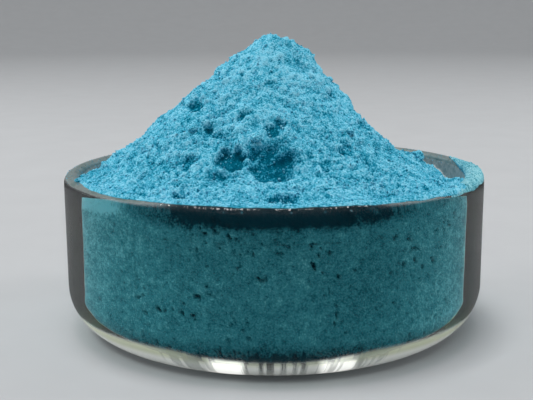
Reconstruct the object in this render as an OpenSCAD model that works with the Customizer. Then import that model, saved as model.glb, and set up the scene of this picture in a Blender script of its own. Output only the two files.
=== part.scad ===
// A round glass laboratory dish, filled with a fine powder and heaped into a cone.
// The origin is the centre of the dish's foot. +Z is up, and the heap's steep side faces +X.

/* [Dish] */
// Outer diameter of the dish
dish_d = 60; // [50:1:90]
// Height of the dish, foot to rim
dish_h = 22.5; // [18:0.5:32]
// Thickness of the glass wall
wall_t = 2.25; // [1.8:0.05:2.8]
// Thickness of the glass floor
floor_t = 1.75; // [1.5:0.05:3]
// Outer radius of the corner between wall and foot
corner_r = 6.8; // [4:0.1:8]

/* [Powder bed] */
// Gap between the glass wall and the packed powder
wall_gap = 0.1; // [0.05:0.05:0.3]
// Depth of the bed's levelled top below the rim
bed_drop = 4.8; // [4.6:0.1:6]

/* [Powder heap] */
// Height of the heap's top above the rim
heap_h = 18.6; // [8:0.1:24]
// Radius over which the heap's top is blunted
top_blunt = 2.5; // [1:0.1:4]
// Curve of the slope, where 1 is a straight cone and more is a hollow slope
slope_power = 1.3; // [1:0.05:1.5]
// How much steeper the +X side is than the -X side
slope_skew = 0.25; // [0:0.05:0.3]
// Extra hollow of the slope near the wall
foot_hollow = 0.2; // [0:0.05:0.4]
// Depth of the powder below the rim at the front of the wall
dip_front = 0.35; // [0.1:0.05:0.8]
// Further depth below the rim at the back of the wall
dip_back = 1.3; // [0:0.1:1.4]
// Further depth of the pocket beside the spill on the rim
pocket_depth = 3.4; // [0:0.1:3.4]
// Rings in the heap's surface
heap_rings = 16; // [8:1:22]
// Points round each ring
heap_sides = 54; // [24:2:72]

/* [Loose powder] */
// Gap under each loose lump
lump_gap = 0.1; // [0.05:0.05:0.2]
// Radius of the largest clod on the slope
clod_r = 1.1; // [0.6:0.1:1.4]
// Radius of the largest crumb on the rim
crumb_r = 0.5; // [0.3:0.05:0.7]
// Radius of the lumps in the middle of the spill on the rim
spill_r = 1.2; // [1:0.05:1.3]
// Angle at which the spill begins
spill_from = -24; // [-50:1:-15]
// Angle at which the spill ends
spill_to = 14; // [0:1:30]

/* [Hidden] */
$fn = 96;

dish_r = dish_d / 2;
inner_r = dish_r - wall_t;
inner_corner_r = corner_r - wall_t;
rim_r = wall_t / 2;
rim_centre_r = dish_r - rim_r;
powder_r = inner_r - wall_gap;
bed_top = dish_h - bed_drop;

// Broad swells and hollows of the heap, as shares of its radius: [x, y, height, width] of a round bump.
swells = [
    [0.18, -0.01, 0.08, 0.058],   // shoulder beside the top, with a steep drop past it
    [0.345, 0.01, 0.12, 0.04],    // clump on the +X slope below it
    [0.5, 0, 0.03, 0.08],         // faint swell lower on that slope
    [0.8, 0.37, 0.07, 0.06],      // bank behind the pocket on the +X side
    [-0.02, 0, 0.02, 0.05],       // small knob at the very top
    [-0.25, 0.02, 0.018, 0.08],   // faint swell on the -X slope
    [0.02, -0.57, 0.03, 0.065],   // crust that overhangs the slip on the front slope
    [0.02, -0.72, -0.06, 0.08],   // hollow that the slip left
    [-0.19, -0.7, -0.03, 0.05],   // smaller hollow beside it
    [0.06, -0.88, 0.02, 0.06],    // tongue of slipped powder at its foot
    [-0.4, -0.85, -0.02, 0.045],  // pit near the front of the wall
    [0.33, 0.43, 0.03, 0.12],     // bulge on the back slope
    [-0.25, 0.49, -0.03, 0.11],   // hollow on the back slope
];

// Loose clods on the heap: [angle, share of the heap's radius, share of clod_r].
clods = [
    [2, 0.3, 0.5], [25, 0.92, 0.9], [176, 0.93, 0.5], [262, 0.62, 0.6], [276, 0.84, 0.9],
    [311, 0.56, 0.65], [231, 0.61, 0.6], [98, 0.62, 0.85], [139, 0.74, 0.7], [64, 0.84, 0.6],
];

// Crumbs that lie on the glass rim: [angle, share of crumb_r].
crumbs = [[52, 0.6], [75, 0.5], [110, 0.7], [128, 0.5], [205, 0.8], [247, 0.6], [322, 0.75]];

// Pockets where the powder meets the wall lower down: [angle, share of pocket_depth, half width in degrees].
pockets = [[5, 1.0, 12], [163, 0.46, 13]];

// Lumps side by side in the spill on the rim. The end lumps are spill_taper times the middle one's size.
spill_lumps = 11;
spill_taper = 0.78;

function polar(r, a, z) = [r * cos(a), r * sin(a), z];

// Height that one swell adds at x, y, all as shares of the heap's radius.
function swell(x, y, s) = s[2] * exp(-(pow(x - s[0], 2) + pow(y - s[1], 2)) / (2 * s[3] * s[3]));

function swells_at(x, y) = [for (s = swells) swell(x, y, s)] * [for (s = swells) 1];

// Distance from the axis, rounded off at the heap's top.
function blunted(r) = sqrt(r * r + top_blunt * top_blunt);

// Share of the heap's height at distance r from the axis, before its curve: 1 on the axis and 0 at the wall.
function cone(r) = (blunted(powder_r) - blunted(r)) / (blunted(powder_r) - blunted(0));

// Smallest turn from angle b to angle a, from -180 to 180.
function turn_between(a, b) = (a - b + 540) % 360 - 180;

function pocket(a, p) = p[1] * pocket_depth * exp(-pow(turn_between(a, p[0]) / p[2], 2) / 2);

// Depth below the rim at which the powder meets the wall, at angle a.
function wall_dip(a) =
    dip_front + dip_back * pow((1 + sin(a)) / 2, 2) + [for (p = pockets) pocket(a, p)] * [for (p = pockets) 1];

// Height of the heap's surface at distance r from the axis and angle a.
function heap_z(r, a) =
    let (
        share = r / powder_r,
        power = slope_power + slope_skew * cos(a) + foot_hollow * pow(share, 4),
        fade = min(1, 8 * (1 - share))
    )
    dish_h - wall_dip(a)
    + (heap_h + wall_dip(a)) * pow(cone(r), power)
    + powder_r * fade * swells_at(share * cos(a), share * sin(a));

// Height at which the centre of a ball of radius r rests when it is dropped on the heap at x, y.
function resting_z(x, y, r) =
    max([
        for (out = [0:r / 5:r]) for (a = [0:30:330])
        let (px = x + out * cos(a), py = y + out * sin(a))
        heap_z(norm([px, py]), atan2(py, px)) + sqrt(max(r * r - out * out, 0))
    ]);

// Half of a dish's section: a rectangle with its lower outer corner rounded.
module rounded_section(r, h, corner) {
    translate([0, corner]) square([r, h - corner]);
    square([r - corner, h]);
    translate([r - corner, corner]) circle(corner);
}

module dish_section() {
    difference() {
        rounded_section(dish_r, dish_h - rim_r, corner_r);
        translate([0, floor_t]) rounded_section(inner_r, dish_h, inner_corner_r);
    }
    translate([rim_centre_r, dish_h - rim_r]) circle(rim_r);
}

// One piece of clear glass with a round, fire-polished rim.
module dish() {
    color("azure", 0.35) rotate_extrude() dish_section();
}

// Crumbs of powder that cling to the top of the rim.
module rim_crumbs() {
    color("powderblue")
    for (c = crumbs) {
        r = c[1] * crumb_r;
        translate(polar(rim_centre_r, c[0], dish_h + r + lump_gap / 4)) sphere(r);
    }
}

// The packed powder that fills the dish, levelled a little below the rim.
module powder_bed() {
    color("cadetblue")
    translate([0, 0, floor_t])
    rotate_extrude() rounded_section(powder_r, bed_top - floor_t, inner_corner_r);
}

// The loose cone of powder that stands on the bed.
module powder_heap() {
    turn = 360 / heap_sides;
    rings = [for (j = [1:heap_rings]) powder_r * j / heap_rings];
    surface = [for (r = rings) for (i = [0:heap_sides - 1]) polar(r, i * turn, heap_z(r, i * turn))];
    foot = [for (i = [0:heap_sides - 1]) polar(powder_r, i * turn, bed_top)];
    top = [[0, 0, heap_z(0, 0)]];
    cap = [for (i = [0:heap_sides - 1]) [0, 1 + (i + 1) % heap_sides, 1 + i]];
    sides = [
        for (j = [0:heap_rings - 1])
        for (i = [0:heap_sides - 1])
        let (
            a = 1 + j * heap_sides + i,
            b = 1 + j * heap_sides + (i + 1) % heap_sides
        )
        each [[a, b, b + heap_sides], [a, b + heap_sides, a + heap_sides]]
    ];
    base = [[for (i = [0:heap_sides - 1]) 1 + heap_rings * heap_sides + i]];
    color("skyblue") polyhedron(points = concat(top, surface, foot), faces = concat(cap, sides, base));
}

// Powder spilled over the rim on the +X side. It follows the round rim with a small gap.
module rim_spill() {
    color("skyblue")
    difference() {
        for (k = [0:spill_lumps - 1]) {
            share = k / (spill_lumps - 1);
            r = spill_r * (spill_taper + (1 - spill_taper) * sin(180 * share));
            angle = spill_from + share * (spill_to - spill_from);
            translate(polar(rim_centre_r - 0.2, angle, dish_h + 0.4)) sphere(r);
        }
        rotate_extrude() translate([rim_centre_r, dish_h - rim_r]) circle(rim_r + lump_gap);
    }
}

// Caked lumps that lie loose on the heap.
module heap_clods() {
    color("lightskyblue")
    for (c = clods) {
        r = c[2] * clod_r;
        place = polar(c[1] * powder_r, c[0], 0);
        translate([place.x, place.y, resting_z(place.x, place.y, r + lump_gap)]) sphere(r);
    }
}

dish();
rim_crumbs();
powder_bed();
powder_heap();
rim_spill();
heap_clods();
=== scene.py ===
"""Looks for a round glass laboratory dish that is filled and heaped with a fine light blue powder.

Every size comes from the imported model. Lengths are in metres, and MM turns millimetres into metres.
"""

import math
import random

import bmesh
import bpy
import numpy as np
from mathutils import Matrix, Vector, noise
from mathutils.bvhtree import BVHTree


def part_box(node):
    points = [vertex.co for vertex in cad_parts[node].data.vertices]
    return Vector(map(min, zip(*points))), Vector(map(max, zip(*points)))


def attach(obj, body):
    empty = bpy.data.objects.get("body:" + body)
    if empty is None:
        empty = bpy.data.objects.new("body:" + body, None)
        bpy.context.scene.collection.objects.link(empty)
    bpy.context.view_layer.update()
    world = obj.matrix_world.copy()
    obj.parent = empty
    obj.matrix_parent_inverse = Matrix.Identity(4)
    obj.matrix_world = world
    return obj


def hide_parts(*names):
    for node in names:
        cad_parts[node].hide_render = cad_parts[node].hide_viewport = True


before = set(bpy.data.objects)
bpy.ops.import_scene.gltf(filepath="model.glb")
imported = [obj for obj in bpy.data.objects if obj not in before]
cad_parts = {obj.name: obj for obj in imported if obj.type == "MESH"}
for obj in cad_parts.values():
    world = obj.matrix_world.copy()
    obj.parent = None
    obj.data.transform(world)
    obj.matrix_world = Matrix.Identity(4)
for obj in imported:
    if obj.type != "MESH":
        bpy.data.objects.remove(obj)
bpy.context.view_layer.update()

MM = 0.001
scene = bpy.context.scene
rng = random.Random(7)

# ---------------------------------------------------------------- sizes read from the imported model


def node_points(node):
    """A CAD node's vertices as an array."""
    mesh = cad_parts[node].data
    co = np.empty(len(mesh.vertices) * 3)
    mesh.vertices.foreach_get("co", co)
    return co.reshape(-1, 3)


def node_lumps(node):
    """The centre and radius of each separate solid in a CAD node of balls, in order of angle."""
    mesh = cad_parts[node].data
    parent = list(range(len(mesh.vertices)))

    def root(i):
        while parent[i] != i:
            parent[i] = parent[parent[i]]
            i = parent[i]
        return i

    places = {}
    for i, v in enumerate(mesh.vertices):
        key = tuple(round(c / (0.001 * MM)) for c in v.co)
        parent[root(i)] = root(places.setdefault(key, i))
    for e in mesh.edges:
        parent[root(e.vertices[0])] = root(e.vertices[1])
    groups = {}
    for i, v in enumerate(mesh.vertices):
        groups.setdefault(root(i), []).append(v.co)
    found = []
    for co in groups.values():
        low = Vector(map(min, *co))
        high = Vector(map(max, *co))
        found.append(((low + high) / 2, max(high - low) / 2))
    return sorted(found, key=lambda f: math.atan2(f[0].y, f[0].x))


dish_points = node_points("dish")
dish_radii = np.hypot(dish_points[:, 0], dish_points[:, 1])
dish_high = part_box("dish")[1]
bed_low, bed_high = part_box("powder_bed")
outer_r = dish_high.x
dish_h = dish_high.z
inner_r = dish_radii[dish_points[:, 2] > 0.6 * dish_h].min()
foot_r = dish_radii[dish_points[:, 2] < 0.001 * MM].max()
wall_t = outer_r - inner_r
corner_r = outer_r - foot_r
inner_corner_r = corner_r - wall_t
rim_r = wall_t / 2
rim_centre_r = outer_r - rim_r
floor_z = bed_low.z
bed_top = bed_high.z
powder_r = bed_high.x
heap_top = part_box("powder_heap")[1].z
seat_r = inner_r - 0.02 * MM  # the powder settles almost against the glass

# ---------------------------------------------------------------- camera, lights and floor


def add_camera():
    """The camera stands in front of the dish and looks a little down on it."""
    distance = 136.7 * MM
    height = dish_h + 21.9 * MM
    pitch = math.radians(11.09)
    yaw = math.radians(0.45)
    roll = math.radians(-0.28)
    data = bpy.data.cameras.new("camera")
    data.sensor_width = 36
    data.lens = 64.07
    data.clip_start = 5 * MM
    camera = bpy.data.objects.new("camera", data)
    turn = (
        Matrix.Rotation(yaw, 4, "Z")
        @ Matrix.Rotation(math.pi / 2 - pitch, 4, "X")
        @ Matrix.Rotation(roll, 4, "Z")
    )
    camera.matrix_world = Matrix.Translation((0, -distance, height)) @ turn
    scene.collection.objects.link(camera)
    scene.camera = camera


def add_softbox(name, place, size, power, mirrored=False):
    """A square area light that points at the middle of the dish.

    It never shows through the glass, and the glass mirrors it only if mirrored is set.
    """
    data = bpy.data.lights.new(name, "AREA")
    data.shape = "SQUARE"
    data.size = size
    data.energy = power
    light = bpy.data.objects.new(name, data)
    light.location = place
    target = Vector((0, 0, dish_h * 0.8))
    light.rotation_euler = (target - light.location).to_track_quat("-Z", "Y").to_euler()
    light.visible_transmission = False
    light.visible_glossy = mirrored
    scene.collection.objects.link(light)


def add_lights():
    add_softbox("softbox_top", (-0.1, -0.12, 1.5), 0.6, 17, mirrored=True)
    add_softbox("softbox_left", (-0.5, 0.1, 0.16), 0.2, 0.9)
    add_softbox("softbox_right", (0.5, 0.12, 0.16), 0.2, 0.8)
    world = bpy.data.worlds.new("studio")
    world.use_nodes = True
    world.node_tree.nodes["Background"].inputs["Color"].default_value = (0.62, 0.64, 0.66, 1)
    world.node_tree.nodes["Background"].inputs["Strength"].default_value = 0.4
    scene.world = world
    scene.view_settings.view_transform = "Standard"


def add_floor():
    """A plain pale floor that sweeps up into a pale wall all round, so that no view has a horizon."""
    flat_r, sweep_r, wall_h = 1.0, 0.8, 1.6
    sweep = arc(flat_r, sweep_r, sweep_r, -90, 0, 24)
    profile = [(0, 0), *sweep, (flat_r + sweep_r, wall_h)]
    floor = revolve("floor", profile, 96)
    floor.location.z = -0.02 * MM
    paint(floor, floor_material())


# ---------------------------------------------------------------- mesh helpers


def new_object(name, points, faces):
    """A smooth-shaded mesh object."""
    mesh = bpy.data.meshes.new(name)
    mesh.from_pydata([tuple(p) for p in points], [], faces)
    mesh.validate()
    mesh.polygons.foreach_set("use_smooth", [True] * len(mesh.polygons))
    obj = bpy.data.objects.new(name, mesh)
    scene.collection.objects.link(obj)
    return obj


def paint(obj, material):
    obj.data.materials.clear()
    obj.data.materials.append(material)


def add_numbers(obj, name, values):
    """Stores one number per vertex for the material to read."""
    numbers = obj.data.attributes.new(name, "FLOAT", "POINT")
    numbers.data.foreach_set("value", np.asarray(values, np.float32))


def place_in_row(obj, node, body):
    """Hides the CAD node that a piece stands for, and puts the piece on the body it rides on."""
    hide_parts(node)
    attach(obj, body)


def ring_points(r, z, turns):
    a = np.arange(turns) * (2 * math.pi / turns)
    return np.stack([r * np.cos(a), r * np.sin(a), np.full(turns, z)], axis=1)


def revolve(name, profile, turns, shift=None):
    """A surface of revolution. The profile runs from axis to axis, or ends in an open edge.

    shift(points) gives a distance away from the axis that each point moves.
    """
    points = [np.array([[0, 0, profile[0][1]]])]
    faces = []
    rings = [p for p in profile if p[0] > 0]
    points += [ring_points(r, z, turns) for r, z in rings]
    for i in range(turns):
        faces.append((0, 1 + (i + 1) % turns, 1 + i))
    for k in range(len(rings) - 1):
        a = 1 + k * turns
        for i in range(turns):
            j = (i + 1) % turns
            faces.append((a + i, a + j, a + turns + j, a + turns + i))
    if profile[-1][0] == 0:
        points.append(np.array([[0, 0, profile[-1][1]]]))
        last = 1 + len(rings) * turns
        a = last - turns
        for i in range(turns):
            faces.append((last, a + i, a + (i + 1) % turns))
    points = np.concatenate(points)
    if shift is not None:
        points = push_out(points, shift(points))
    return new_object(name, points, faces)


def push_out(points, distance):
    """Moves points away from the Z axis."""
    flat = points * [1, 1, 0]
    length = np.maximum(np.linalg.norm(flat, axis=1), 1e-9)
    return points + flat * (distance / length)[:, None]


def arc(centre_r, centre_z, radius, start, end, steps):
    """Points of an arc in a profile, with angles in degrees from +r."""
    angles = np.radians(np.linspace(start, end, steps + 1))
    return [(centre_r + radius * math.cos(a), centre_z + radius * math.sin(a)) for a in angles]


def disc_grid(n):
    """A square grid of n by n cells pressed into the unit disc, its quads, and its edge in order."""
    g = np.linspace(-1, 1, n + 1)
    u, v = np.meshgrid(g, g, indexing="ij")
    wide = np.abs(u) >= np.abs(v)
    r = np.where(wide, u, v)
    safe = np.where(r == 0, 1, r)
    a = np.where(wide, math.pi / 4 * v / safe, math.pi / 2 - math.pi / 4 * u / safe)
    points = np.stack([(r * np.cos(a)).ravel(), (r * np.sin(a)).ravel()], axis=1)
    index = np.arange((n + 1) ** 2).reshape(n + 1, n + 1)
    quads = np.stack([index[:-1, :-1], index[1:, :-1], index[1:, 1:], index[:-1, 1:]], axis=-1)
    edge = np.concatenate([index[:-1, 0], index[-1, :-1], index[:0:-1, -1], index[0, :0:-1]])
    return points, quads.reshape(-1, 4), edge


def blur(grid, steps):
    """Averages each cell of a square grid with its neighbours, several times over."""
    for _ in range(steps):
        padded = np.pad(grid, ((1, 1), (1, 1)) + ((0, 0),) * (grid.ndim - 2), mode="edge")
        grid = (
            2 * grid
            + padded[:-2, 1:-1]
            + padded[2:, 1:-1]
            + padded[1:-1, :-2]
            + padded[1:-1, 2:]
        ) / 6
    return grid


def grid_normals(grid):
    """Upward unit normals of a square grid of points."""
    along = np.gradient(grid, axis=0)
    across = np.gradient(grid, axis=1)
    normal = np.cross(along, across)
    return normal / np.linalg.norm(normal, axis=-1, keepdims=True)


def unit_ball(levels):
    """Vertices and triangles of a ball of radius 1, split finer with each level."""
    shape = bmesh.new()
    bmesh.ops.create_icosphere(shape, subdivisions=levels, radius=1)
    points = np.array([v.co for v in shape.verts])
    faces = np.array([[v.index for v in f.verts] for f in shape.faces])
    shape.free()
    return points, faces


# ---------------------------------------------------------------- noise


def clouds(points, size, octaves=3, seed=0.0):
    """Soft fractal noise from about -1 to 1, with features of the given size."""
    shift = Vector((seed * 17.3, seed * 5.1, seed * 9.7))
    return np.array(
        [noise.fractal(Vector(p) / size + shift, 0.9, 2.0, octaves) for p in points]
    )


def billows(points, size, octaves=3, seed=0.0):
    """Rounded swellings with sharp creases between them, from 0 in a crease to about 1."""
    shift = Vector((seed * 7.9, seed * 13.1, seed * 3.3))
    return np.array(
        [noise.turbulence(Vector(p) / size + shift, octaves, True) for p in points]
    )


def clumps(points, size, seed=0.0):
    """Rounded lumps with creases between them: 1 at the middle of a lump and 0 in a crease."""
    shift = Vector((seed * 11.9, seed * 3.7, seed * 7.3))
    near = np.array([noise.voronoi(Vector(p) / size + shift)[0][:2] for p in points])
    return smooth_step(near[:, 1] - near[:, 0], 0, 0.55) * (1 - 0.5 * near[:, 0])


def smooth_step(x, low, high):
    t = np.clip((x - low) / (high - low), 0, 1)
    return t * t * (3 - 2 * t)


# ---------------------------------------------------------------- materials


def node_material(name):
    material = bpy.data.materials.new(name)
    material.use_nodes = True
    nodes = material.node_tree.nodes
    return material, nodes, material.node_tree.links, nodes["Principled BSDF"]


def noise_node(nodes, links, size, detail=4.0, roughness=0.6):
    """A noise texture in object space, with features about size wide."""
    place = nodes.new("ShaderNodeTexCoord")
    texture = nodes.new("ShaderNodeTexNoise")
    texture.inputs["Scale"].default_value = 1 / size
    texture.inputs["Detail"].default_value = detail
    texture.inputs["Roughness"].default_value = roughness
    links.new(place.outputs["Object"], texture.inputs["Vector"])
    return texture.outputs["Fac"]


def streak_node(nodes, links, width, detail=2.0):
    """A noise texture that only changes with the angle round the dish, with streaks about width wide."""
    place = nodes.new("ShaderNodeTexCoord")
    flat = nodes.new("ShaderNodeVectorMath")
    flat.operation = "MULTIPLY"
    flat.inputs[1].default_value = (1, 1, 0)
    turn = nodes.new("ShaderNodeVectorMath")
    turn.operation = "NORMALIZE"
    texture = nodes.new("ShaderNodeTexNoise")
    texture.inputs["Scale"].default_value = outer_r / width
    texture.inputs["Detail"].default_value = detail
    links.new(place.outputs["Object"], flat.inputs[0])
    links.new(flat.outputs[0], turn.inputs[0])
    links.new(turn.outputs[0], texture.inputs["Vector"])
    return texture.outputs["Fac"]


def attribute_node(nodes, name):
    attribute = nodes.new("ShaderNodeAttribute")
    attribute.attribute_name = name
    return attribute.outputs["Fac"]


def grain_node(nodes, links, size):
    """Distance from the middle of the nearest grain, in object space."""
    place = nodes.new("ShaderNodeTexCoord")
    texture = nodes.new("ShaderNodeTexVoronoi")
    texture.inputs["Scale"].default_value = 1 / size
    links.new(place.outputs["Object"], texture.inputs["Vector"])
    return texture.outputs["Distance"]


def sum_node(nodes, links, offset, *terms):
    """Adds up value sockets, each times its factor, and an offset."""
    total = offset
    for socket, factor in terms:
        step = nodes.new("ShaderNodeMath")
        step.operation = "MULTIPLY_ADD"
        step.inputs[1].default_value = factor
        links.new(socket, step.inputs[0])
        if isinstance(total, float):
            step.inputs[2].default_value = total
        else:
            links.new(total, step.inputs[2])
        total = step.outputs[0]
    return total


def product_node(nodes, links, first, second):
    step = nodes.new("ShaderNodeMath")
    step.operation = "MULTIPLY"
    links.new(first, step.inputs[0])
    links.new(second, step.inputs[1])
    return step.outputs[0]


def fade_node(nodes, links, value, low, high):
    """Turns a value into 0 at low and 1 at high, smoothly."""
    fade = nodes.new("ShaderNodeMapRange")
    fade.interpolation_type = "SMOOTHSTEP"
    fade.inputs["From Min"].default_value = low
    fade.inputs["From Max"].default_value = high
    links.new(value, fade.inputs["Value"])
    return fade.outputs["Result"]


def ramp_node(nodes, links, value, stops):
    """A colour ramp with stops of (position, colour)."""
    stops = list(stops)
    ramp = nodes.new("ShaderNodeValToRGB")
    while len(ramp.color_ramp.elements) < len(stops):
        ramp.color_ramp.elements.new(0.5)
    for element, (position, colour) in zip(ramp.color_ramp.elements, stops):
        element.position = position
        element.color = (*colour, 1)
    links.new(value, ramp.inputs["Fac"])
    return ramp.outputs["Color"]


def mix_node(nodes, links, factor, first, second):
    """Mixes two colours by a factor. Each is a colour socket or a fixed colour."""
    mix = nodes.new("ShaderNodeMix")
    mix.data_type = "RGBA"
    links.new(factor, mix.inputs["Factor"])
    for socket, colour in ((mix.inputs[6], first), (mix.inputs[7], second)):
        if isinstance(colour, tuple):
            socket.default_value = (*colour, 1)
        else:
            links.new(colour, socket)
    return mix.outputs[2]


def bump_node(nodes, links, shader, height, depth):
    bump = nodes.new("ShaderNodeBump")
    bump.inputs["Distance"].default_value = depth
    links.new(height, bump.inputs["Height"])
    links.new(bump.outputs["Normal"], shader.inputs["Normal"])


def powder_material(name, tones, shaded_side_tones):
    """Dull powder. Its tone comes from the shade attribute, broad drifts, lumps, specks and tiny grains.

    Each set of tones runs from the bottom of a pit to a lit grain. The side tones are used on powder
    pressed against the
    glass, where the attribute is 1: the texture is fainter there, and their darker colours are painted
    shade.
    """
    speck = 0.24 * MM
    relief = 0.09 * MM
    material, nodes, links, shader = node_material(name)
    specks = noise_node(nodes, links, speck, 3.0, 0.7)
    lumps = noise_node(nodes, links, 4 * speck, 4.0, 0.65)
    drifts = noise_node(nodes, links, 15 * speck, 2.0)
    grains = grain_node(nodes, links, 1.2 * speck)
    packed = attribute_node(nodes, "packed")
    detail = sum_node(
        nodes, links, -1.6, (specks, 1.6), (lumps, 1.25), (drifts, 0.6), (grains, -0.25)
    )
    detail = product_node(nodes, links, detail, sum_node(nodes, links, 1.35, (packed, -0.8)))
    tone = sum_node(nodes, links, 0.0, (attribute_node(nodes, "shade"), 1.0), (detail, 1.0))
    loose = ramp_node(nodes, links, tone, zip(TONE_STEPS, tones))
    side = ramp_node(nodes, links, tone, zip(TONE_STEPS, shaded_side_tones))
    links.new(mix_node(nodes, links, packed, loose, side), shader.inputs["Base Color"])
    height = sum_node(nodes, links, 0.0, (specks, 1.0), (lumps, 1.5), (grains, -0.6))
    bump_node(nodes, links, shader, height, relief)
    shader.inputs["Roughness"].default_value = 0.95
    shader.inputs["Specular IOR Level"].default_value = 0.0
    return material


GLASS_TINT = (0.93, 0.965, 0.955)
GLASS_IOR = 1.47
LAMPLIGHT_TINT = (0.86, 0.9, 0.89)
DUST_TINT = (0.14, 0.2, 0.19)
FILM_TINT = (0.03, 0.105, 0.115)
FROST_TINT = (0.97, 0.98, 0.93)
FROST_EDGE_TINT = (0.55, 0.6, 0.33)


def place_nodes(nodes, links):
    """The X, Y and Z of the place in object space, as three sockets."""
    place = nodes.new("ShaderNodeTexCoord")
    split = nodes.new("ShaderNodeSeparateXYZ")
    links.new(place.outputs["Object"], split.inputs["Vector"])
    return split.outputs["X"], split.outputs["Y"], split.outputs["Z"]


def dust_node(nodes, links, height, beside):
    """Patchy dust on the crest of the rim, away from the rim's front."""
    patches = fade_node(nodes, links, noise_node(nodes, links, 3 * MM, 6.0, 0.75), 0.4, 0.62)
    patches = sum_node(nodes, links, 0.75, (patches, 0.25))
    crest = fade_node(nodes, links, height, dish_h - 0.75 * MM, dish_h - 0.3 * MM)
    return product_node(nodes, links, product_node(nodes, links, crest, patches), beside)


def film_node(nodes, links):
    """A smeared film of powder on the bare inner wall."""
    smears = fade_node(nodes, links, noise_node(nodes, links, 0.8 * MM, 5.0, 0.75), 0.3, 0.7)
    smears = sum_node(nodes, links, 0.85, (smears, 0.15))
    return product_node(nodes, links, attribute_node(nodes, "bare"), smears)


def frost_nodes(nodes, links, across, behind, height, beside):
    """Frost round the foot, clearer in gaps at its front, and two spots in it that glow brightly as
    painted highlights.
    """
    foot_height = sum_node(nodes, links, 0.0, (height, 1.0), (beside, -0.9 * MM))
    near_foot = fade_node(nodes, links, foot_height, 3.6 * MM, 2.8 * MM)
    gaps = fade_node(nodes, links, streak_node(nodes, links, 1.1 * MM), 0.52, 0.42)
    front = fade_node(nodes, links, behind, -24 * MM, -26.3 * MM)
    whole = sum_node(nodes, links, 0.85, (product_node(nodes, links, gaps, front), -0.6))
    frost = product_node(nodes, links, near_foot, whole)

    away = nodes.new("ShaderNodeMath")
    away.operation = "ABSOLUTE"
    links.new(sum_node(nodes, links, -1 * MM, (across, 1.0)), away.inputs[0])
    inner = fade_node(nodes, links, away.outputs[0], 4 * MM, 5.4 * MM)
    outer = fade_node(nodes, links, away.outputs[0], 9.6 * MM, 8.4 * MM)
    painted_highlights = product_node(nodes, links, inner, outer)
    painted_highlights = product_node(nodes, links, painted_highlights, product_node(nodes, links, front, near_foot))
    return frost, painted_highlights


def calm_mirror(nodes, links, shader, matt):
    """Leaves out most of the mirror share where matt is 1, so that the powder behind shows clearly."""
    bend = nodes.new("ShaderNodeBsdfRefraction")
    bend.inputs["Color"].default_value = (*GLASS_TINT, 1)
    bend.inputs["Roughness"].default_value = 0.02
    bend.inputs["IOR"].default_value = GLASS_IOR
    calm = nodes.new("ShaderNodeMixShader")
    links.new(sum_node(nodes, links, 1.0, (matt, -0.8)), calm.inputs[0])
    links.new(bend.outputs[0], calm.inputs[1])
    links.new(shader.outputs[0], calm.inputs[2])
    return calm.outputs[0]


def let_light_through(nodes, links, surface):
    """Lets lamplight through the glass, and the light that the powder throws back."""
    path = nodes.new("ShaderNodeLightPath")
    open_way = nodes.new("ShaderNodeBsdfTransparent")
    open_way.inputs["Color"].default_value = (*LAMPLIGHT_TINT, 1)
    for ray in ("Is Shadow Ray", "Is Diffuse Ray"):
        mix = nodes.new("ShaderNodeMixShader")
        links.new(path.outputs[ray], mix.inputs[0])
        links.new(surface, mix.inputs[1])
        links.new(open_way.outputs[0], mix.inputs[2])
        surface = mix.outputs[0]
    links.new(surface, nodes["Material Output"].inputs["Surface"])


def glass_material():
    """Clear pressed glass with dust on its rim, film on its bare inner wall and frost round its foot. The
    frost and two spots on it glow as painted light.

    The bare attribute is 1 on the inner wall above the powder.
    """
    material, nodes, links, shader = node_material("clear_glass")
    across, behind, height = place_nodes(nodes, links)
    near_rim = fade_node(nodes, links, height, dish_h - 1.5 * MM, dish_h - 0.6 * MM)
    on_top = fade_node(nodes, links, height, dish_h - 1.0 * MM, dish_h - 0.3 * MM)
    beside = fade_node(nodes, links, behind, -27.5 * MM, -24 * MM)
    clean = product_node(nodes, links, on_top, sum_node(nodes, links, 1.0, (beside, -0.9)))
    dust = dust_node(nodes, links, height, beside)
    film = film_node(nodes, links)
    frost, painted_highlights = frost_nodes(nodes, links, across, behind, height, beside)

    edge = fade_node(nodes, links, height, 2.3 * MM, 3.3 * MM)
    pale = mix_node(nodes, links, edge, FROST_TINT, FROST_EDGE_TINT)
    colour = mix_node(nodes, links, dust, GLASS_TINT, DUST_TINT)
    colour = mix_node(nodes, links, film, colour, FILM_TINT)
    colour = mix_node(nodes, links, frost, colour, pale)
    links.new(colour, shader.inputs["Base Color"])
    clear = sum_node(nodes, links, 1.0, (dust, -0.96), (film, -0.9), (frost, -0.9))
    links.new(clear, shader.inputs["Transmission Weight"])
    rough = sum_node(nodes, links, 0.02, (dust, 0.4), (film, 0.3), (frost, 0.12))
    links.new(rough, shader.inputs["Roughness"])
    shader.inputs["IOR"].default_value = GLASS_IOR
    gloss = sum_node(nodes, links, 0.2, (near_rim, 0.8), (film, -0.75), (dust, -0.6))
    tint = ramp_node(nodes, links, gloss, [(0.0, (0, 0, 0)), (1.0, (1, 1, 1))])
    links.new(tint, shader.inputs["Specular Tint"])
    ripple = product_node(nodes, links, clean, streak_node(nodes, links, 0.55 * MM, 1.0))
    bump_node(nodes, links, shader, ripple, 0.4 * MM)
    # Painted light: the frost glows a little and the two spots on the foot glow brightly, though the
    # glass is no lamp.
    painted_glow = sum_node(nodes, links, 0.0, (frost, 0.12), (painted_highlights, 0.75))
    shader.inputs["Emission Color"].default_value = (1, 1, 0.95, 1)
    links.new(painted_glow, shader.inputs["Emission Strength"])

    matt = product_node(nodes, links, clear, sum_node(nodes, links, 1.0, (clean, -1.0)))
    let_light_through(nodes, links, calm_mirror(nodes, links, shader, matt))
    return material


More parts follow.
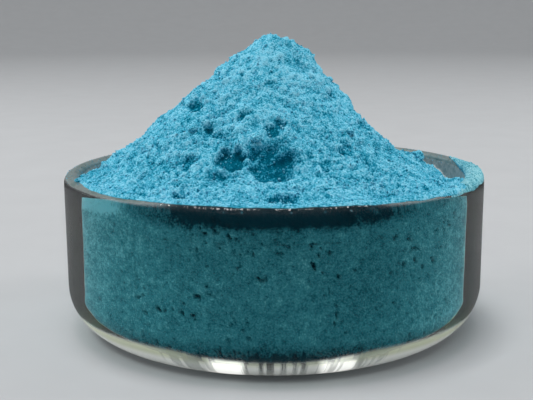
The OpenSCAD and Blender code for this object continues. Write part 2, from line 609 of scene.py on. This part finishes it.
def floor_material():
    """Plain pale matt card, with a trace of unevenness."""
    material, nodes, links, shader = node_material("floor_card")
    grain = noise_node(nodes, links, 16 * MM, 3.0)
    colour = ramp_node(nodes, links, grain, [(0.3, (0.51, 0.52, 0.53)), (0.7, (0.53, 0.54, 0.55))])
    links.new(colour, shader.inputs["Base Color"])
    shader.inputs["Roughness"].default_value = 0.7
    return material


TONE_STEPS = (0.0, 0.3, 0.62, 1.0)
LOOSE_TONES = [(0.001, 0.12, 0.19), (0.011, 0.265, 0.405), (0.095, 0.48, 0.665), (0.26, 0.68, 0.86)]
CAKED_TONES = [(0.002, 0.13, 0.21), (0.016, 0.29, 0.43), (0.12, 0.53, 0.72), (0.28, 0.72, 0.88)]
DUSTY_TONES = [(0.01, 0.12, 0.17), (0.05, 0.3, 0.38), (0.17, 0.5, 0.6), (0.34, 0.68, 0.75)]
# Painted shade: the side tones are darker than the loose tones, for the powder wall that faces away from
# the top light; their darkest stop is reached in the painted shadow under the rim.
SHADED_SIDE_TONES = [(0.004, 0.04, 0.06), (0.028, 0.2, 0.26), (0.065, 0.34, 0.42), (0.22, 0.68, 0.8)]
LOOSE = powder_material("loose_powder", LOOSE_TONES, SHADED_SIDE_TONES)
DUSTY = powder_material("dusty_powder", DUSTY_TONES, SHADED_SIDE_TONES)
CAKED = powder_material("caked_powder", CAKED_TONES, SHADED_SIDE_TONES)
PACKED = powder_material("packed_powder", LOOSE_TONES, SHADED_SIDE_TONES)
GLASS = glass_material()

# ---------------------------------------------------------------- glass dish


def dish_profile():
    """The dish's section, from the middle of its foot round to the middle of its floor."""
    corner = arc(foot_r, corner_r, corner_r, -90, 0, 28)
    rim = arc(rim_centre_r, dish_h - rim_r, rim_r, 0, 180, 28)
    inner_centre_r = inner_r - inner_corner_r
    inner = arc(inner_centre_r, floor_z + inner_corner_r, inner_corner_r, 0, -90, 28)
    foot = [(foot_r * k / 8, 0) for k in range(8)]
    wall_rows = 10
    rise = [
        (outer_r, corner_r + (dish_h - rim_r - corner_r) * k / wall_rows)
        for k in range(1, wall_rows)
    ]
    inner_rows = 4 * wall_rows
    fall = [
        (inner_r, dish_h - rim_r + (floor_z + inner_corner_r - dish_h + rim_r) * k / inner_rows)
        for k in range(1, inner_rows)
    ]
    floor = [(inner_centre_r * k / 8, floor_z) for k in range(7, -1, -1)]
    return foot + corner + rise + rim + fall + inner + floor


def glass_waver(points):
    """Slight unevenness of the outside of pressed glass, a little more on the corner than on the wall."""
    low = 1 - smooth_step(points[:, 2], 0, corner_r)
    out = np.maximum(np.hypot(points[:, 0], points[:, 1]) - foot_r, 0)
    down = np.minimum(points[:, 2] - corner_r, 0)
    outer = (np.hypot(out, down) > corner_r - wall_t / 2) & (out > 0)
    size = (0.01 + 0.05 * low) * MM * outer
    return size * (clouds(points * [1, 1, 0.4], 5 * MM, 2) - 0.5)


def bare_glass(points, contact):
    """1 on the inner wall above the line where the powder meets it, and 0 elsewhere."""
    angle = np.arctan2(contact[:, 1], contact[:, 0])
    order = np.argsort(angle)
    line = np.interp(
        np.arctan2(points[:, 1], points[:, 0]), angle[order], contact[order, 2], period=2 * math.pi
    )
    near = smooth_step(np.hypot(points[:, 0], points[:, 1]), inner_r + 0.5 * MM, inner_r + 0.1 * MM)
    return near * smooth_step(points[:, 2] - line, -0.2 * MM, 0.3 * MM)


def build_dish(contact):
    """The glass. contact holds the points of the line where the powder meets the wall."""
    dish = revolve("glass_dish", dish_profile(), 384, glass_waver)
    points = np.array([v.co for v in dish.data.vertices])
    add_numbers(dish, "bare", bare_glass(points, contact))
    paint(dish, GLASS)
    place_in_row(dish, "dish", "dish")


# ---------------------------------------------------------------- powder surfaces

SHARP_ANGLE = math.radians(75)  # sharper edges, as at the seam of bed and heap, are not smoothed over

# Hollows in the heap's front, as shares of its radius: [angle, radius, half width, half length, depth].
HOLLOWS = [
    (-91, 0.68, 0.13, 0.095, 0.045),
    (-107, 0.69, 0.075, 0.05, 0.04),
    (-89, 0.54, 0.062, 0.045, 0.028),
    (-87, 0.92, 0.065, 0.05, 0.03),
    (-115, 0.59, 0.04, 0.03, 0.022),
    (-122, 0.59, 0.028, 0.03, 0.02),
    (-107, 0.49, 0.03, 0.035, 0.016),
    (-118, 0.94, 0.04, 0.035, 0.03),
    (-109, 0.79, 0.045, 0.03, 0.018),
    (-58, 0.63, 0.056, 0.03, 0.016),
    (-55, 0.94, 0.03, 0.035, 0.018),
    (-93, 0.31, 0.05, 0.026, 0.01),
    (-123, 0.75, 0.06, 0.03, 0.014),
    (-71, 0.71, 0.036, 0.032, 0.014),
]


def scattered_hollows(count):
    """Hollows at random places on the back and sides of the heap."""
    found = []
    for _ in range(count):
        size = rng.uniform(0.03, 0.08)
        place = rng.uniform(0.3, 0.9)
        found.append((rng.uniform(-40, 220), place, size, rng.uniform(0.5, 0.9) * size, 0.4 * size))
    return found


def hollow_relief(points):
    """Relief of the hollows, with a crust on the uphill side, and how far inside one each point is."""
    flat = points[:, :2] / powder_r
    flat = flat + 0.03 * np.stack([clouds(points, 2.2 * MM, 3, seed) for seed in (21, 22)], axis=1)
    relief = np.zeros(len(points))
    inside = np.zeros(len(points))
    for angle, place, half_width, half_length, depth in HOLLOWS + scattered_hollows(16):
        a = math.radians(angle)
        down = (flat @ [math.cos(a), math.sin(a)] - place) / half_length
        across = (flat @ [-math.sin(a), math.cos(a)]) / half_width
        far = np.hypot(down, across)
        hole = 1 - smooth_step(far, 0.45, 1.1)
        ring = smooth_step(far, 0.8, 1.2) * (1 - smooth_step(far, 1.2, 1.8))
        crust = ring * smooth_step(-down, 0, 1)
        relief += powder_r * depth * (0.15 * crust - hole)
        inside = np.maximum(inside, hole * min(1, depth / 0.03))
    return relief, inside


def powder_relief(points, rough):
    """How far loose powder stands out at each point: broad swells, crumbs and small pits."""
    swell = 0.5 * clouds(points, 5 * MM, 4, 1) - 0.05
    crumble = 0.75 * (billows(points, 1.7 * MM, 4, 2) - 0.45)
    clump = 0.3 * (clumps(points, 0.85 * MM, 3) - 0.4)
    pits = 0.3 * smooth_step(clouds(points, 0.8 * MM, 3, 4), 0.3, 0.9)
    return (swell + rough * (crumble + clump - pits)) * MM


def side_relief(points):
    """How far packed powder stands back from the glass: mostly flat, with clusters of small pits."""
    patch = smooth_step(clouds(points, 5 * MM, 2, 11), -0.3, 0.5)
    pits = smooth_step(clouds(points, 0.8 * MM, 4, 5), 0.42, 0.66)
    pores = smooth_step(clouds(points, 0.5 * MM, 3, 6), 0.2, 0.7)
    folds = smooth_step(billows(points, 1.3 * MM, 3, 7), 0.38, 0.2)
    return -(0.42 * pits * (0.25 + 0.75 * patch) + 0.1 * pores + 0.07 * folds) * MM


def stand_on(top, quads, edge, wall_rows, foot_corner):
    """Closes a disc-shaped surface into a solid with a wall below its edge and a flat base.

    wall_rows are the heights of the rings down the wall, and foot_corner the radius at its foot.
    """
    points = [top]
    faces = [tuple(q) for q in quads]
    last = np.asarray(edge)
    count = len(top)
    turns = len(edge)
    flat = top[edge] * [1, 1, 0]
    for z in wall_rows:
        inset = 0
        if foot_corner and z < wall_rows[-1] + foot_corner:
            drop = foot_corner - (z - wall_rows[-1])
            inset = foot_corner - math.sqrt(max(foot_corner**2 - drop**2, 0))
        ring = flat * (1 - inset / seat_r)
        ring[:, 2] = z
        points.append(ring)
        now = np.arange(count, count + turns)
        count += turns
        for i in range(turns):
            j = (i + 1) % turns
            faces.append((last[i], now[i], now[j], last[j]))
        last = now
    points.append(np.array([[0, 0, wall_rows[-1]]]))
    faces += [(last[(i + 1) % turns], last[i], count) for i in range(turns)]
    return np.concatenate(points), faces


def cad_heights(node, flat):
    """Heights of a CAD node's top above flat points, by rays from above."""
    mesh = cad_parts[node].data
    tree = BVHTree.FromPolygons(
        [v.co for v in mesh.vertices], [tuple(p.vertices) for p in mesh.polygons]
    )
    down = Vector((0, 0, -1))
    return np.array([tree.ray_cast(Vector((x, y, 1)), down)[0].z for x, y in flat])


def rim_shadow(points):
    """Light under the rim, seen through the wall: a dark band at the front and a pale one toward -X."""
    turn = np.degrees(np.arctan2(points[:, 1], points[:, 0]))
    front = smooth_step(turn, -140, -100) * smooth_step(turn, -40, -78)
    left = smooth_step(turn, -126, -138) * smooth_step(turn, -180, -165)
    depth = dish_h - points[:, 2] + 0.25 * MM * clouds(points, 1.5 * MM, 3, 12)
    smears = smooth_step(clouds(points, 2.5 * MM, 3, 13), 0.45, 0.8)
    dark = smooth_step(depth, 3.8 * MM, 1.9 * MM) * front * (0.75 - 0.3 * smears)
    pale = smooth_step(depth, 3.4 * MM, 2.0 * MM) * left
    return dark - 0.6 * pale


def settle_side(points):
    """Presses a powder wall against the glass. Gives its points, with their pits, and their shades, which
    hold painted light and shade.
    """
    back = side_relief(points)
    low = 1 - smooth_step(points[:, 2], floor_z, floor_z + 0.9 * inner_corner_r)
    aside = smooth_step(np.abs(points[:, 0]) / outer_r, 0.3, 0.95)
    light = 0.1 * clouds(points, 9 * MM, 2, 14) + 0.28 * aside
    # Painted light toward the sides; painted shade in pits, toward the floor and under the rim.
    shade = 0.52 + light + 1.1 * back / MM - 0.92 * low - rim_shadow(points)
    return push_out(points, back), shade


def heap_tone(relief, height, depth, n):
    """Shade of the heap's surface: paler toward the top, darker in hollows and creases."""
    grid = relief.reshape(n + 1, n + 1)
    small = (blur(grid, 6) - grid).ravel() / (0.2 * MM)
    broad = (blur(grid, 60) - grid).ravel() / (0.8 * MM)
    tone = 0.57 + 0.15 * smooth_step(height, 0.1, 0.9) - 0.5 * depth
    return tone - 0.19 * np.clip(small, -1, 1.5) - 0.17 * np.clip(broad, -1, 1.5)


def build_heap():
    """The loose heap. Gives its surface points, their normals and shares of the radius, and its edge."""
    n = 280
    unit, quads, edge = disc_grid(n)
    inside = 0.995
    base = cad_heights("powder_heap", unit * powder_r * inside)
    grid = np.dstack([unit.reshape(n + 1, n + 1, 2) * seat_r, base.reshape(n + 1, n + 1)])
    grid[..., 2] = blur(grid[..., 2], 24)
    normal = grid_normals(grid).reshape(-1, 3)
    flat = grid.reshape(-1, 3)
    share = np.hypot(flat[:, 0], flat[:, 1]) / seat_r
    height = (flat[:, 2] - dish_h) / (heap_top - dish_h)
    hollows, depth = hollow_relief(flat)
    rough = 0.55 + 0.6 * smooth_step(clouds(flat, 7 * MM, 2, 8), -0.3, 0.5)
    rough *= (1 - 0.35 * smooth_step(height, 0.6, 1.0)) * (1 - 0.6 * depth)
    relief = powder_relief(flat, rough) + hollows
    hold = smooth_step(1 - share, 0, 0.03)
    moved = flat + normal * relief[:, None] * np.stack([hold, hold, np.ones(len(flat))], axis=1)
    tone = heap_tone(relief, height, depth, n)
    rows = 18
    points, faces = stand_on(moved, quads, edge, [bed_top] * rows, 0)
    wall = points[len(moved) : -1]
    k = np.repeat(np.arange(1, rows + 1) / rows, len(edge))
    wall[:, 2] = np.tile(moved[edge][:, 2], rows) * (1 - k) + bed_top * k
    wall[:], side_tone = settle_side(wall)
    heap = new_object("loose_heap", points, faces)
    heap.data.set_sharp_from_angle(angle=SHARP_ANGLE)
    add_numbers(heap, "shade", np.concatenate([tone, side_tone, [0.3]]))
    add_numbers(heap, "packed", np.arange(len(points)) >= len(moved))
    paint(heap, LOOSE)
    place_in_row(heap, "powder_heap", "heap")
    return moved, normal, share, moved[edge]


def build_bed():
    """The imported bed, with a dented top and a wall that follows the glass."""
    n = 200
    unit, quads, edge = disc_grid(n)
    flat = np.column_stack([unit * seat_r, np.full(len(unit), bed_top)])
    share = np.hypot(unit[:, 0], unit[:, 1])
    hold = smooth_step(1 - share, 0, 0.02)
    top = flat.copy()
    dents = 0.3 * (1 - clumps(flat, 1.8 * MM, 9)) + 0.2 * (1 - clumps(flat, 0.8 * MM, 10))
    top[:, 2] -= dents * MM * hold
    corner_z = floor_z + inner_corner_r
    rows = list(np.linspace(bed_top, corner_z, 50)[1:])
    rows += [z for _, z in arc(0, corner_z, inner_corner_r, 0, -90, 16)[1:]]
    points, faces = stand_on(top, quads, edge, rows, inner_corner_r)
    wall = slice(len(top), len(points) - 1)
    points[wall], side_tone = settle_side(points[wall])
    bed = new_object("packed_bed", points, faces)
    bed.data.set_sharp_from_angle(angle=SHARP_ANGLE)
    # Painted shade: the top is darker in its dents.
    shade = np.concatenate([0.75 - 0.5 * dents * hold, side_tone, [0.4]])
    shade[edge] = side_tone[: len(edge)]
    packed = np.arange(len(points)) >= len(top)
    packed[edge] = True
    add_numbers(bed, "shade", shade)
    add_numbers(bed, "packed", packed)
    paint(bed, PACKED)
    place_in_row(bed, "powder_bed", "bed")


# ---------------------------------------------------------------- loose lumps and grains


def random_turn():
    """A random rotation matrix."""
    axis = Vector((rng.gauss(0, 1), rng.gauss(0, 1), rng.gauss(0, 1)))
    return np.array(Matrix.Rotation(rng.uniform(0, 2 * math.pi), 3, axis))


def lump_points(ball, centre, radius, seed):
    """One knobbly lump: a ball pushed in and out by noise."""
    turned = ball @ random_turn() * [1, rng.uniform(0.75, 1), rng.uniform(0.7, 0.95)]
    push = 0.3 * clouds(ball, 1.3, 2, seed) + 0.25 * (billows(ball, 0.7, 3, seed + 1) - 0.4)
    return np.array(centre) + radius * turned * (1 + push)[:, None]


def grain_points(ball, centre, radius):
    """One angular grain: a coarse ball with its corners moved at random."""
    jitter = np.array([rng.uniform(0.7, 1.25) for _ in ball])[:, None]
    return np.array(centre) + radius * (ball * jitter) @ random_turn()


def clear_of_rim(points):
    """Moves points that lie inside the glass rim out to just above it."""
    r = np.maximum(np.hypot(points[:, 0], points[:, 1]), 1e-9)
    out = r - rim_centre_r
    up = points[:, 2] - (dish_h - rim_r)
    gap = np.maximum(np.hypot(out, up), 1e-9)
    grow = np.where(up > -rim_r / 2, np.maximum(1, (rim_r + 0.03 * MM) / gap), 1)
    moved = points.copy()
    moved[:, :2] *= ((rim_centre_r + out * grow) / r)[:, None]
    moved[:, 2] = dish_h - rim_r + up * grow
    return moved


def join_lumps(name, parts, material):
    """Joins (points, faces, shades) parts into one object."""
    points, faces, shades = [], [], []
    count = 0
    for part_points, part_faces, part_shades in parts:
        points.append(part_points)
        faces.append(part_faces + count)
        shades.append(part_shades)
        count += len(part_points)
    obj = new_object(name, np.concatenate(points), np.concatenate(faces).tolist())
    add_numbers(obj, "shade", np.concatenate(shades))
    paint(obj, material)
    return obj


def lump_shades(points, centre, radius):
    """Painted light and shade of lumps: paler on top, darker in their creases and below."""
    far = np.linalg.norm(points - np.array(centre), axis=1) / radius
    up = (points[:, 2] - centre[2]) / radius
    return 0.5 + 0.35 * (far - 0.9) + 0.18 * up


def build_crumbs(surface, normal, share):
    """Thousands of small grains that lie on the heap, more of them toward its foot."""
    ball, faces = unit_ball(1)
    parts = []
    while len(parts) < 5000:
        i = rng.randrange(len(surface))
        if share[i] > 0.985 or rng.random() > 0.35 + 0.65 * share[i]:
            continue
        radius = MM * (0.06 + 0.15 * rng.random() ** 3)
        centre = surface[i] + normal[i] * 0.2 * radius
        shades = np.full(len(ball), rng.uniform(0.6, 0.95))
        parts.append((grain_points(ball, centre, radius), faces, shades))
    crumbs = join_lumps("loose_grains", parts, LOOSE)
    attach(crumbs, "heap")


def build_clods(surface, normal):
    """The caked lumps, each settled a little into the heap."""
    ball, faces = unit_ball(4)
    parts = []
    for k, (centre, radius) in enumerate(node_lumps("heap_clods")):
        i = np.argmin(np.linalg.norm(surface - np.array(centre), axis=1))
        seat = surface[i] - normal[i] * 0.25 * radius
        points = lump_points(ball, seat, radius, 30 + k)
        parts.append((points, faces, lump_shades(points, seat, radius) + 0.1))
    clods = join_lumps("caked_clods", parts, CAKED)
    place_in_row(clods, "heap_clods", "heap")


def rim_place(angle, cross, lift):
    """A point above the rim: angle round the dish, cross over the round of the rim, in degrees."""
    a = math.radians(angle)
    c = math.radians(cross)
    r = rim_centre_r + (rim_r + lift) * math.sin(c)
    return np.array([r * math.cos(a), r * math.sin(a), dish_h - rim_r + (rim_r + lift) * math.cos(c)])


def crust_points(start, end, inner, outer, thickness, over, under):
    """Sections of a crust, one after another: over points on its upper side and under on its lower."""
    points = []
    for share in np.linspace(0, 1, int(abs(end - start) * 9)):
        angle = start + share * (end - start)
        a = math.radians(angle)
        ragged = 9 * noise.fractal(Vector((9 * math.cos(a), 9 * math.sin(a), 0)), 0.9, 2.0, 4)
        low = inner(share)
        reach = max(outer(share) + ragged, low + 4)
        for u in np.linspace(0, 1, over):
            lift = thickness(share) * (1 - u**3) * min(1, 6 * u + 0.3)
            points.append(rim_place(angle, low + u * (reach - low), lift + 0.01 * MM))
        for u in np.linspace(1, 0, under):
            points.append(rim_place(angle, low + u * (reach - low), -0.03 * MM))
    return np.array(points)


def crust_faces(ring, sections):
    """Quads between sections of ring points each, and a cap at either end."""
    faces = []
    for k in range(sections - 1):
        for i in range(ring):
            j = (i + 1) % ring
            faces.append((k * ring + i, k * ring + j, (k + 1) * ring + j, (k + 1) * ring + i))
    faces.append(tuple(range(ring - 1, -1, -1)))
    faces.append(tuple(range((sections - 1) * ring, sections * ring)))
    return faces


def rim_crust(name, start, end, inner, outer, thickness):
    """A closed crust of powder that lies on the round of the rim.

    inner, outer and thickness take the share of the way from start to end. They give where the crust
    begins and ends over the round, in degrees, and how thick it is in its middle. Its underside is
    set a hair into the glass, so that no gap shows.
    """
    over = 26
    ring = over + 5
    points = crust_points(start, end, inner, outer, thickness, over, ring - over)
    bulge = clouds(points, 1.4 * MM, 3, 61) * 0.2 + 0.5 * (billows(points, 0.8 * MM, 4, 62) - 0.4)
    bulge += 0.25 * (clumps(points, 0.5 * MM, 63) - 0.4)
    row = np.arange(len(points)) % ring
    top = row < over
    u = np.minimum(row, over - 1) / (over - 1)
    room = top * smooth_step(1 - u, 0, 0.3) * MM
    points[:, 2] += 0.6 * room * bulge
    points = np.where(top[:, None], clear_of_rim(points), points)
    crust = new_object(name, points, crust_faces(ring, len(points) // ring))
    # Painted light and shade: paler on the bulges and darker between them.
    add_numbers(crust, "shade", 0.7 + 0.5 * bulge)
    return crust


def build_spill():
    """Powder that drifted over the rim in a thick crust, with a thin end along the rim at either side."""
    angles = np.degrees([math.atan2(y, x) for x, y, _ in node_points("rim_spill")])
    start, end = angles.min() - 16, angles.max() + 3
    spill = rim_crust(
        "spilled_powder",
        start,
        end,
        lambda share: 90 * share**5 - 95,
        lambda share: 70 - 70 * share**5,
        lambda share: MM * (0.08 + 0.42 * math.sin(math.pi * share) ** 2),
    )
    paint(spill, DUSTY)
    place_in_row(spill, "rim_spill", "heap")


# How far powder reaches over the front of the rim: [angle round the dish, degrees over its round].
DRIFT = [
    (-168, -60),
    (-153, -4),
    (-142, 22),
    (-130, 34),
    (-118, 24),
    (-104, 18),
    (-98, 26),
    (-74, 27),
    (-60, 42),
    (-40, 58),
    (-32, 58),
]


def build_drift():
    """The heap's own edge, where it laps over the front of the rim."""
    start, end = DRIFT[0][0], DRIFT[-1][0]
    drift = rim_crust(
        "lapping_edge",
        start,
        end,
        lambda share: -78,
        lambda share: float(np.interp(start + share * (end - start), *zip(*DRIFT))),
        lambda share: 0.22 * MM,
    )
    paint(drift, LOOSE)
    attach(drift, "heap")


def build_rim_crumbs():
    """Crumbs and a dusting of grains that stay on the glass rim."""
    ball, faces = unit_ball(3)
    parts = []
    for k, (centre, radius) in enumerate(node_lumps("rim_crumbs")):
        seat = centre - Vector((0, 0, 0.4 * radius))
        points = clear_of_rim(lump_points(ball, seat, radius, 80 + k))
        parts.append((points, faces, lump_shades(points, seat, radius) + 0.15))
    ball, faces = unit_ball(1)
    for _ in range(1600):
        radius = MM * (0.025 + 0.06 * rng.random() ** 3)
        centre = rim_place(rng.uniform(-20, 210), rng.uniform(-85, 60), 0.6 * radius)
        shades = np.full(len(ball), rng.uniform(0.4, 0.8))
        parts.append((clear_of_rim(grain_points(ball, centre, radius)), faces, shades))
    crumbs = join_lumps("rim_dusting", parts, LOOSE)
    place_in_row(crumbs, "rim_crumbs", "dish")


# ---------------------------------------------------------------- scene

add_camera()
add_lights()
add_floor()
build_bed()
heap_surface, heap_normal, heap_share, heap_edge = build_heap()
build_dish(heap_edge)
build_crumbs(heap_surface, heap_normal, heap_share)
build_clods(heap_surface, heap_normal)
build_spill()
build_drift()
build_rim_crumbs()
